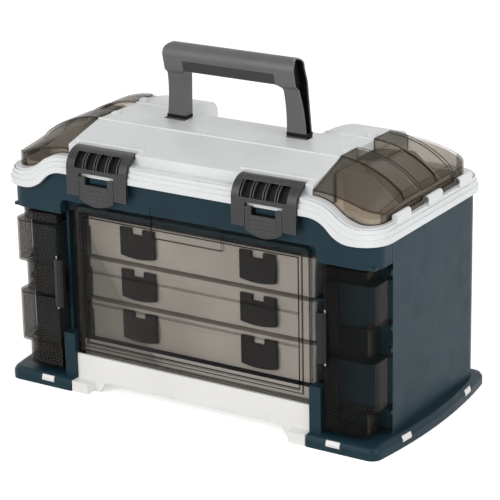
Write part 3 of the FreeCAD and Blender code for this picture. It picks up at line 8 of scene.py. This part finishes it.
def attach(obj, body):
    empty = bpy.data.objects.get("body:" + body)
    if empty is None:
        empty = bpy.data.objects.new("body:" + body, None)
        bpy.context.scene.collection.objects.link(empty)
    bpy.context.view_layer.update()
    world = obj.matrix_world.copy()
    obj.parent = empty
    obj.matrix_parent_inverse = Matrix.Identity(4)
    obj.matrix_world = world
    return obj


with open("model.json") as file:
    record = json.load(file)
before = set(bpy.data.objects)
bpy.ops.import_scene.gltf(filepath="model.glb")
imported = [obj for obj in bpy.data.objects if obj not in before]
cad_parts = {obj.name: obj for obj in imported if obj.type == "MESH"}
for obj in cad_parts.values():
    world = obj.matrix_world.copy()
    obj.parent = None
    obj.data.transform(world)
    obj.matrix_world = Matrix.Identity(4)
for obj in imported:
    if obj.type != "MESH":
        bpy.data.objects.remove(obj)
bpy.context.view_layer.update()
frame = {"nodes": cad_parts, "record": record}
nodes = frame["nodes"]

MM = 0.001

# The photograph's camera, fitted to the cabinet's straight edges, in metres.
CAMERA_TURN = math.radians(32.338)
CAMERA_RISE = math.radians(19.312)
CAMERA_ROLL = math.radians(-1.116)
CAMERA_AWAY = 2.8699
CAMERA_AIM = Vector((0.0, 0.0127, 0.1706))
SENSOR_WIDE = 36.0
FOCAL_PIXELS = 2279.756
PICTURE_PIXELS = 500
CLIP_END = 20.0

# The studio: the floor is lifted towards white, and the world is white, only where seen.
FLOOR_HALF = 6.0
FLOOR_COLOUR = (0.92, 0.92, 0.92)
FLOOR_GLOW = 0.56
WORLD_SEEN_COLOUR = (1.0, 1.0, 1.0)
WORLD_SEEN = 1.0
WORLD_LIGHT_COLOUR = (0.8, 0.8, 0.8)
WORLD_LIGHT = 0.5

# Linear colours of the plastics and the steel.
GREEN = (0.013, 0.034, 0.047)
SILVER = (0.76, 0.775, 0.78)
WHITE = (0.86, 0.85, 0.82)
GREY = (0.1, 0.097, 0.097)
CHARCOAL = (0.02, 0.02, 0.022)
BLACK = (0.008, 0.008, 0.01)
# Painted shade: the near-black of the dark sheets set where the handle's legs, the latches and
# the door's frame lie in shade.
PAINTED_SHADE_BLACK = (0.003, 0.003, 0.0035)
PALE = (0.74, 0.7, 0.64)
STEEL = (0.5, 0.5, 0.5)
SMOKE_TINT = (0.982, 0.968, 0.95)
SMOKE_DOME_TINT = (0.94, 0.915, 0.88)
# The racks' darker smoke below is painted shade, for racks whose insides lie in shade.
SMOKE_RACK_SHADED_TINT = (0.88, 0.865, 0.85)
SMOKE_SKIN = (0.03, 0.027, 0.024)
BOX_TINT = (0.97, 0.96, 0.95)
BOX_SKIN = (0.8, 0.77, 0.735)

# Noise scales, per metre, and the part of the noise's range that is stretched.
BLOTCH_SCALE = 14.0
GLOSS_SCALE = 45.0
GRAIN_SCALE = 2600.0
CLEAR_BLOTCH_SCALE = 9.0
CLEAR_GLOSS_SCALE = 30.0
CLEAR_WAVE_SCALE = 60.0
METAL_BLOTCH_SCALE = 120.0
METAL_GLOSS_SCALE = 300.0
METAL_GRAIN_SCALE = 2000.0
NOISE_LOW = 0.3
NOISE_HIGH = 0.7

# Bumps and rounded edges, with lengths in metres.
BEVEL_SAMPLES = 4
BUMP_STRENGTH = 0.35
GRAIN_DEPTH = 0.0002
WAVE_DEPTH = 0.0004
METAL_DEPTH = 0.0001
METAL_EDGE = 0.0002

# How far the rounded normal leans from the flat one where an edge starts and where it is
# full, as cosines.
EDGE_STARTS = 0.995
EDGE_FULL = 0.9

# Plastics: the lightest colour, how the gloss strays from the stated roughness, and the lift of
# the lighter edges, partly rubbed wear and partly painted highlight.
LIGHTEST = 0.95
GLOSSIER = 0.05
DULLER = 0.07
RUBBED_AND_HIGHLIT_LIFT = 0.02

# Clear plastics: the skin's colour spread, its cover at a slant and the rim's colour.
SKIN_SPREAD = 0.15
SKIN_ROUGH = 0.06
SLANT_BLEND = 0.35
SLANT_COVER = 0.6
RIM_SHARE = 0.3
CLEAR_LAYERS = 32

# Steel: how much darker its blotches are, and how much duller its dull spots.
METAL_DARKER = 0.15
METAL_DULLER = 0.15


def link(tree, out, into):
    tree.links.new(out, into)


def add(tree, kind, **settings):
    """A node with some of its attributes or sockets set."""
    node = tree.nodes.new(kind)
    for key, value in settings.items():
        if hasattr(node, key):
            setattr(node, key, value)
        else:
            node.inputs[key.replace("_", " ")].default_value = value
    return node


def new_material(name):
    mat = bpy.data.materials.new(name)
    mat.use_nodes = True
    tree = mat.node_tree
    tree.nodes.clear()
    return mat, tree, add(tree, "ShaderNodeOutputMaterial")


def noise(tree, scale, detail=3.0):
    where = add(tree, "ShaderNodeTexCoord")
    grain = add(tree, "ShaderNodeTexNoise", Scale=scale, Detail=detail)
    link(tree, where.outputs["Object"], grain.inputs["Vector"])
    return grain.outputs["Fac"]


def spread(tree, source, low, high):
    """The source's middle range stretched between two values."""
    fit = add(tree, "ShaderNodeMapRange", From_Min=NOISE_LOW, From_Max=NOISE_HIGH,
              To_Min=low, To_Max=high)
    link(tree, source, fit.inputs["Value"])
    return fit.outputs["Result"]


def colour_mix(tree, factor, first, second):
    mix = add(tree, "ShaderNodeMix", data_type="RGBA")
    link(tree, factor, mix.inputs["Factor"])
    for slot, value in ((mix.inputs[6], first), (mix.inputs[7], second)):
        if isinstance(value, tuple):
            slot.default_value = (*value, 1)
        else:
            link(tree, value, slot)
    return mix.outputs[2]


def shader_mix(tree, factor, first, second):
    mix = add(tree, "ShaderNodeMixShader")
    link(tree, factor, mix.inputs["Fac"])
    link(tree, first, mix.inputs[1])
    link(tree, second, mix.inputs[2])
    return mix.outputs[0]


def math_node(tree, operation, first, second):
    """Two values combined, the second of them a plain number or an output."""
    made = add(tree, "ShaderNodeMath", operation=operation)
    link(tree, first, made.inputs[0])
    if isinstance(second, float):
        made.inputs[1].default_value = second
    else:
        link(tree, second, made.inputs[1])
    return made.outputs[0]


def rounded_normal(tree, radius):
    return add(tree, "ShaderNodeBevel", samples=BEVEL_SAMPLES, Radius=radius).outputs["Normal"]


def soft_edges(tree, radius, grain, grain_depth):
    """A normal with rounded edges under a fine moulded grain."""
    bump = add(tree, "ShaderNodeBump", Strength=BUMP_STRENGTH, Distance=grain_depth)
    link(tree, grain, bump.inputs["Height"])
    link(tree, rounded_normal(tree, radius), bump.inputs["Normal"])
    return bump.outputs["Normal"]


def edge_mask(tree, radius):
    """One at a sharp edge or corner, falling to nothing within a radius of it."""
    form = add(tree, "ShaderNodeNewGeometry")
    turn = add(tree, "ShaderNodeVectorMath", operation="DOT_PRODUCT")
    link(tree, rounded_normal(tree, radius), turn.inputs[0])
    link(tree, form.outputs["Normal"], turn.inputs[1])
    fit = add(tree, "ShaderNodeMapRange", From_Min=EDGE_STARTS, From_Max=EDGE_FULL)
    link(tree, turn.outputs["Value"], fit.inputs["Value"])
    return fit.outputs["Result"]


def plastic(name, colour, rough, vary=0.1, edge=0.0007, wear_and_sheen=0.25, gloss=0.5):
    """Moulded plastic: faint blotches, a fine grain, uneven gloss, and edges painted lighter,
    partly as rubbed wear and partly as a painted highlight.
    """
    mat, tree, output = new_material(name)
    shader = add(tree, "ShaderNodeBsdfPrincipled", Specular_IOR_Level=gloss)
    darker = tuple(c * (1 - vary) for c in colour)
    lighter = tuple(min(c * (1 + vary), LIGHTEST) for c in colour)
    # Edges lighter by the wear factor: partly rubbed wear, partly a painted highlight on the
    # rounded edges.
    rubbed_and_highlit = tuple(min(c * (1 + wear_and_sheen) + RUBBED_AND_HIGHLIT_LIFT * wear_and_sheen, LIGHTEST) for c in colour)
    blotch = colour_mix(tree, spread(tree, noise(tree, BLOTCH_SCALE), 0.0, 1.0), darker, lighter)
    link(tree, colour_mix(tree, edge_mask(tree, edge), blotch, rubbed_and_highlit),
         shader.inputs["Base Color"])
    link(tree, spread(tree, noise(tree, GLOSS_SCALE), rough - GLOSSIER, rough + DULLER),
         shader.inputs["Roughness"])
    link(tree, soft_edges(tree, edge, noise(tree, GRAIN_SCALE, 2.0), GRAIN_DEPTH),
         shader.inputs["Normal"])
    link(tree, shader.outputs[0], output.inputs["Surface"])
    return mat


def clear(name, tint, skin, cover, edge=0.0008, edge_cover=0.95):
    """Thin clear plastic: tinted see-through under a glossy skin that thickens at a slant,
    and dark along its edges, where one looks into its thickness."""
    mat, tree, output = new_material(name)
    through = add(tree, "ShaderNodeBsdfTransparent", Color=(*tint, 1))
    shader = add(tree, "ShaderNodeBsdfPrincipled")
    link(tree, colour_mix(tree, spread(tree, noise(tree, CLEAR_BLOTCH_SCALE), 0.0, 1.0),
                          tuple(c * (1 - SKIN_SPREAD) for c in skin),
                          tuple(c * (1 + SKIN_SPREAD) for c in skin)),
         shader.inputs["Base Color"])
    link(tree, spread(tree, noise(tree, CLEAR_GLOSS_SCALE), SKIN_ROUGH, 2 * SKIN_ROUGH),
         shader.inputs["Roughness"])
    link(tree, soft_edges(tree, edge, noise(tree, CLEAR_WAVE_SCALE, 2.0), WAVE_DEPTH),
         shader.inputs["Normal"])
    slant = add(tree, "ShaderNodeLayerWeight", Blend=SLANT_BLEND)
    skin_share = add(tree, "ShaderNodeMapRange", To_Min=cover,
                     To_Max=min(cover + SLANT_COVER, 1.0))
    link(tree, slant.outputs["Fresnel"], skin_share.inputs["Value"])
    skinned = shader_mix(tree, skin_share.outputs["Result"], through.outputs[0],
                         shader.outputs[0])
    rim = add(tree, "ShaderNodeBsdfDiffuse", Color=(*(c * RIM_SHARE for c in skin), 1))
    rim_share = math_node(tree, "MULTIPLY", edge_mask(tree, edge), edge_cover)
    link(tree, shader_mix(tree, rim_share, skinned, rim.outputs[0]), output.inputs["Surface"])
    return mat


def metal(name, colour, rough):
    mat, tree, output = new_material(name)
    shader = add(tree, "ShaderNodeBsdfPrincipled", Metallic=1.0)
    link(tree, colour_mix(tree, spread(tree, noise(tree, METAL_BLOTCH_SCALE), 0.0, 1.0),
                          tuple(c * (1 - METAL_DARKER) for c in colour), colour),
         shader.inputs["Base Color"])
    link(tree, spread(tree, noise(tree, METAL_GLOSS_SCALE), rough, rough + METAL_DULLER),
         shader.inputs["Roughness"])
    link(tree, soft_edges(tree, METAL_EDGE, noise(tree, METAL_GRAIN_SCALE), METAL_DEPTH),
         shader.inputs["Normal"])
    link(tree, shader.outputs[0], output.inputs["Surface"])
    return mat


MATERIALS = {
    # The wear figures lighten the edges: partly rubbed wear, partly painted highlight.
    "case_green": plastic("case_green", GREEN, 0.36, vary=0.12, edge=0.0012, wear_and_sheen=0.8,
                          gloss=0.12),
    "base_white": plastic("base_white", WHITE, 0.4, vary=0.03, edge=0.001),
    "lid_silver": plastic("lid_silver", SILVER, 0.36, vary=0.04, edge=0.0012),
    "trim_grey": plastic("trim_grey", GREY, 0.38, edge=0.001, wear_and_sheen=0.6),
    "trim_charcoal": plastic("trim_charcoal", CHARCOAL, 0.3, vary=0.12, edge=0.0008,
                             wear_and_sheen=3.0, gloss=0.45),
    "trim_dark": plastic("trim_dark", BLACK, 0.4, vary=0.15, edge=0.0008, wear_and_sheen=1.0,
                         gloss=0.25),
    # Painted shade: a near-black material for the dark sheets set in shaded recesses.
    "painted_shade": plastic("painted_shade", PAINTED_SHADE_BLACK, 0.6, vary=0.2, wear_and_sheen=0.5, gloss=0.2),
    "tray_pale": plastic("tray_pale", PALE, 0.5, vary=0.05),
    "pin_steel": metal("pin_steel", STEEL, 0.3),
    "smoked_clear": clear("smoked_clear", SMOKE_TINT, SMOKE_SKIN, 0.01, edge=0.002),
    "smoked_dome": clear("smoked_dome", SMOKE_DOME_TINT, SMOKE_SKIN, 0.01, edge=0.0022),
    # Painted shade: the racks' smoke is a darker copy of the door's.
    "smoked_rack_shaded": clear("smoked_rack_shaded", SMOKE_RACK_SHADED_TINT, SMOKE_SKIN, 0.02, edge=0.0018),
    "box_clear": clear("box_clear", BOX_TINT, BOX_SKIN, 0.62, edge_cover=0.3),
}

# Smoked pieces that show darker than the door, whose slot they share; the racks' darker smoke is
# painted shade.
DARKER = {
    "end_lid_right": "smoked_dome", "end_lid_left": "smoked_dome",
    "rack_right": "smoked_rack_shaded", "rack_left": "smoked_rack_shaded",
}


def dress_nodes():
    """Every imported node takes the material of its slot, or the darker smoke it has here."""
    for part in frame["record"]["subparts"]:
        mesh = nodes[part["node"]].data
        mesh.materials.clear()
        mesh.materials.append(MATERIALS[DARKER.get(part["node"], part["material_slot"])])


def place(name, data):
    """A new object in the scene."""
    made = bpy.data.objects.new(name, data)
    bpy.context.scene.collection.objects.link(made)
    return made


def piece(name, verts, faces, material, body):
    """A detail piece from points in millimetres, riding on a body."""
    mesh = bpy.data.meshes.new(name)
    mesh.from_pydata([[c * MM for c in v] for v in verts], [], faces)
    mesh.validate()
    made = place(name, mesh)
    mesh.materials.append(MATERIALS[material])
    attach(made, body)
    return made


def soften(made, radius):
    """Rounded edges on a detail piece."""
    bevel = made.modifiers.new("soft_edges", "BEVEL")
    bevel.width = radius * MM
    bevel.segments = 2
    bevel.limit_method = "ANGLE"


def corners(across, along):
    """The corners of a rectangle in order, from its two limits each way."""
    return [(across[0], along[0]), (across[1], along[0]), (across[1], along[1]),
            (across[0], along[1])]


def ring_faces(count, rings, closed=False):
    """Quads between rings of points, and between the last ring and the first if closed."""
    faces = []
    for ring in range(rings if closed else rings - 1):
        low = ring * count
        high = (ring + 1) % rings * count
        for i in range(count):
            j = (i + 1) % count
            faces.append((low + i, low + j, high + j, high + i))
    return faces


# The handle's legs and the ends of its grip, in millimetres as the solids have them: heights
# from the ground, and places out from the middle and back from it.
HANDLE_LOW = 337.0
LEG_FOOT = 325.0
LEG_OUT = 101.5
LEG_BACK = 2.5
LEG_FRONT = -16.0
LEG_LEAN = 11.0
LEG_CURVE = 16.0
NECK_UP = 398.0
GRIP_OUT = 93.5
GRIP_LOW = 404.0
GRIP_TOP = 437.5
GRIP_ROUND = 14.0
GRIP_FRONT = -32.5
GRIP_HEEL = -28.0
GRIP_TURN = 9.0

# The painted-shade cup inside a leg, a dark sheet where its open channel lies in shade: its
# inset from the leg's outline, its wall, its floor, and how far its rim and its floor stay
# inside the leg's rim.
CUP_INSET = 2.1
CUP_WALL = 0.5
CUP_FLOOR = 83.65
CUP_RIM_IN = 1.0
CUP_FLOOR_IN = 1.2
ROUND_STEPS = 16
NECK_STEPS = 8

# The painted-shade band round a leg's foot, dark where its pocket in the lid lies in shade: its
# limits out and back, outside and inside.
SHADE_BAND_OUTER = ((72.75, 100.6), (-15.1, 1.0))
SHADE_BAND_INNER = ((73.3, 99.9), (-14.5, 0.4))
SHADE_BAND_LOW = 338.2
SHADE_BAND_HIGH = 342.8
SHADE_BAND_SOFT = 0.25

# The painted-shade sheet behind a latch's fins, dark where the inside lies in shade: its middle
# and half width, three points of the frame's back as (back, up) with the way in from each, and
# the depths of the sheet's two sides.
LATCH_OUT = 119.2
SHADE_SHEET_HALF = 33.4
SHADE_SHEET_BEND = ((-142.1, 300.2), (-134.5, 310.35), (-127.1, 317.9))
SHADE_SHEET_INWARD = ((-0.8, 0.6), (-0.757, 0.653), (-0.714, 0.7))
SHADE_SHEET_DEPTHS = (0.15, 0.5)


def leg_front(up):
    """How far back the leg's front face lies at a height."""
    share = (up - LEG_FOOT) / (NECK_UP - LEG_FOOT)
    return LEG_FRONT + LEG_LEAN * share - LEG_CURVE * share * share


def handle_loop(inset):
    """The leg's outline seen from the side, set in, as (back, up) points."""
    middle = GRIP_FRONT + GRIP_ROUND
    radius = GRIP_ROUND - inset
    bulb = GRIP_TOP - GRIP_ROUND
    back_low = LEG_BACK * (HANDLE_LOW - LEG_FOOT) / (GRIP_LOW - LEG_FOOT)
    loop = [(back_low - inset, HANDLE_LOW + inset), (LEG_BACK - inset, GRIP_LOW)]
    for step in range(ROUND_STEPS + 1):
        angle = math.pi * step / ROUND_STEPS
        loop.append((middle + radius * math.cos(angle), bulb + radius * math.sin(angle)))
    loop.append((GRIP_HEEL + inset, GRIP_LOW))
    for step in range(NECK_STEPS + 1):
        up = NECK_UP + (HANDLE_LOW + inset - NECK_UP) * step / NECK_STEPS
        loop.append((leg_front(up) + inset, up))
    return loop


def rim_out(up):
    """How far from the middle the leg's rim stands at a height."""
    start = GRIP_TOP - GRIP_TURN
    if up > start:
        return GRIP_OUT - GRIP_TURN + math.sqrt(max(GRIP_TURN ** 2 - (up - start) ** 2, 0.0))
    share = max(GRIP_LOW - up, 0.0) / (GRIP_LOW - LEG_FOOT)
    return GRIP_OUT + (LEG_OUT - GRIP_OUT) * share


def handle_shade_cup(side, sign):
    """Painted shade in a leg's open channel: a thin dark cup with its rim set in, where the
    channel lies in shade.
    """
    outer, inner = handle_loop(CUP_INSET), handle_loop(CUP_INSET + CUP_WALL)
    count = len(outer)
    verts = []
    for loop, floor in ((outer, None), (outer, CUP_FLOOR), (inner, CUP_FLOOR + CUP_WALL),
                        (inner, None)):
        for back, up in loop:
            rim = rim_out(up)
            out = rim - CUP_RIM_IN if floor is None else min(floor, rim - CUP_FLOOR_IN)
            verts.append((sign * out, back, up))
    faces = ring_faces(count, 2)
    faces += [tuple(i + 2 * count for i in face) for face in ring_faces(count, 2)]
    faces += [(i + 3 * count, (i + 1) % count + 3 * count, (i + 1) % count, i)
              for i in range(count)]
    faces += [tuple(range(2 * count - 1, count - 1, -1)), tuple(range(2 * count, 3 * count))]
    piece(f"handle_shade_cup_{side}", verts, faces, "painted_shade", "handle")


def leg_shade_band(side, sign):
    """Painted shade round a leg where it meets its pocket in the lid: a thin dark band where the
    pocket lies in shade.
    """
    outer, inner = corners(*SHADE_BAND_OUTER), corners(*SHADE_BAND_INNER)
    verts = []
    for loop, up in ((outer, SHADE_BAND_LOW), (outer, SHADE_BAND_HIGH), (inner, SHADE_BAND_HIGH),
                     (inner, SHADE_BAND_LOW)):
        verts += [(sign * out, back, up) for out, back in loop]
    made = piece(f"leg_shade_band_{side}", verts, ring_faces(4, 4, closed=True), "painted_shade", "handle")
    soften(made, SHADE_BAND_SOFT)


def latch_shade_sheet(side, sign):
    """Painted shade behind a latch's fins: a thin dark sheet bent along the frame's back, where
    the inside lies in shade.
    """
    verts = []
    for out in (LATCH_OUT - SHADE_SHEET_HALF, LATCH_OUT + SHADE_SHEET_HALF):
        for depth in SHADE_SHEET_DEPTHS:
            verts += [(sign * out, back + way[0] * depth, up + way[1] * depth)
                      for (back, up), way in zip(SHADE_SHEET_BEND, SHADE_SHEET_INWARD)]
    faces = []
    for a, b in ((0, 1), (1, 2)):
        faces += [(a, b, b + 6, a + 6), (a + 3, a + 9, b + 9, b + 3), (a, a + 3, b + 3, b),
                  (a + 6, b + 6, b + 9, a + 9)]
    faces += [(0, 6, 9, 3), (2, 5, 11, 8)]
    piece(f"latch_shade_sheet_{side}", verts, faces, "painted_shade", f"latch_{side}")


def bay_sill(x, y, z):
    """The pale base where it shows through the smoke behind the door's lower edge."""
    verts = [(at_x, at_y, at_z) for at_x in x for at_y in y for at_z in z]
    faces = [(0, 1, 3, 2), (4, 6, 7, 5), (0, 4, 5, 1), (2, 3, 7, 6), (0, 2, 6, 4), (1, 5, 7, 3)]
    piece("bay_sill", verts, faces, "base_white", "cabinet")


def door_frame_shade_line(name, half, low, high, wide, front, back):
    """Painted shade round the door's raised frame: a dark rectangular line where the frame's
    step lies in shade.
    """
    verts = []
    for y in (front, back):
        for grow in (0.0, wide):
            x = half + grow
            verts += [(out, y, up) for out, up in corners((-x, x), (low - grow, high + grow))]
    faces = []
    for i in range(4):
        j = (i + 1) % 4
        faces += [(i, j, j + 4, i + 4), (i + 8, i + 12, j + 12, j + 8), (i, i + 8, j + 8, j),
                  (i + 4, j + 4, j + 12, i + 12)]
    piece(name, verts, faces, "painted_shade", "door")


def place_facing(name, data, turn, rise, roll, away):
    """A camera or lamp that faces the cabinet from a turn round it and a rise above it."""
    back = Vector((math.sin(turn) * math.cos(rise), -math.cos(turn) * math.cos(rise),
                   math.sin(rise)))
    level = (-back).cross(Vector((0, 0, 1))).normalized()
    above = level.cross(-back)
    right = level * math.cos(roll) + above * math.sin(roll)
    up = above * math.cos(roll) - level * math.sin(roll)
    made = place(name, data)
    axes = Matrix((right, up, back)).transposed().to_4x4()
    made.matrix_world = Matrix.Translation(CAMERA_AIM + back * away) @ axes
    return made


def make_camera():
    data = bpy.data.cameras.new("photo_camera")
    data.sensor_width = SENSOR_WIDE
    data.lens = FOCAL_PIXELS * SENSOR_WIDE / PICTURE_PIXELS
    data.clip_end = CLIP_END
    bpy.context.scene.camera = place_facing("photo_camera", data, CAMERA_TURN, CAMERA_RISE,
                                            CAMERA_ROLL, CAMERA_AWAY)


def make_lamp(name, turn, rise, away, size, power):
    """A square soft lamp that faces the cabinet."""
    data = bpy.data.lights.new(name, "AREA")
    data.shape = "SQUARE"
    data.size = size
    data.energy = power
    place_facing(name, data, math.radians(turn), math.radians(rise), 0.0, away)


def seen_rays(tree):
    """One for what the eye meets directly, in a reflection or through a clear piece."""
    path = add(tree, "ShaderNodeLightPath")
    found = path.outputs["Is Camera Ray"]
    for kind in ("Is Glossy Ray", "Is Transmission Ray"):
        found = math_node(tree, "MAXIMUM", found, path.outputs[kind])
    return found


def make_floor():
    mesh = bpy.data.meshes.new("studio_floor")
    limits = (-FLOOR_HALF, FLOOR_HALF)
    mesh.from_pydata([(x, y, 0) for x, y in corners(limits, limits)], [], [(0, 1, 2, 3)])
    floor = place("studio_floor", mesh)
    mat, tree, output = new_material("studio_floor")
    shader = add(tree, "ShaderNodeBsdfPrincipled", Base_Color=(*FLOOR_COLOUR, 1),
                 Roughness=0.9, Specular_IOR_Level=0.0)
    glow = add(tree, "ShaderNodeEmission")
    link(tree, math_node(tree, "MULTIPLY", seen_rays(tree), FLOOR_GLOW),
         glow.inputs["Strength"])
    both = add(tree, "ShaderNodeAddShader")
    link(tree, shader.outputs[0], both.inputs[0])
    link(tree, glow.outputs[0], both.inputs[1])
    link(tree, both.outputs[0], output.inputs["Surface"])
    mesh.materials.append(mat)


def make_world():
    """White to the eye and in reflections, and a plain level of light on the cabinet."""
    world = bpy.data.worlds.new("studio")
    bpy.context.scene.world = world
    world.use_nodes = True
    tree = world.node_tree
    tree.nodes.clear()
    output = add(tree, "ShaderNodeOutputWorld")
    seen = add(tree, "ShaderNodeBackground", Color=(*WORLD_SEEN_COLOUR, 1),
               Strength=WORLD_SEEN)
    lit = add(tree, "ShaderNodeBackground", Color=(*WORLD_LIGHT_COLOUR, 1),
              Strength=WORLD_LIGHT)
    link(tree, shader_mix(tree, seen_rays(tree), lit.outputs[0], seen.outputs[0]),
         output.inputs["Surface"])


dress_nodes()
for side, sign in (("right", 1), ("left", -1)):
    handle_shade_cup(side, sign)
    leg_shade_band(side, sign)
    latch_shade_sheet(side, sign)
bay_sill(x=(-170.8, 170.8), y=(-112.4, -111.8), z=(40.0, 62.0))
door_frame_shade_line("door_seam_inner", half=153.7, low=64.9, high=229.7, wide=1.3, front=-126.9,
          back=-126.3)
door_frame_shade_line("door_seam_outer", half=160.0, low=59.5, high=235.0, wide=0.9, front=-127.9,
          back=-127.3)
make_camera()
make_world()
make_floor()
make_lamp("key_lamp", turn=-15, rise=24, away=2.6, size=1.6, power=29)
make_lamp("side_lamp", turn=80, rise=25, away=2.6, size=1.4, power=24)
make_lamp("back_lamp", turn=170, rise=40, away=2.6, size=1.4, power=8)
bpy.context.scene.view_settings.view_transform = "Standard"
bpy.context.scene.cycles.transparent_max_bounces = CLEAR_LAYERS
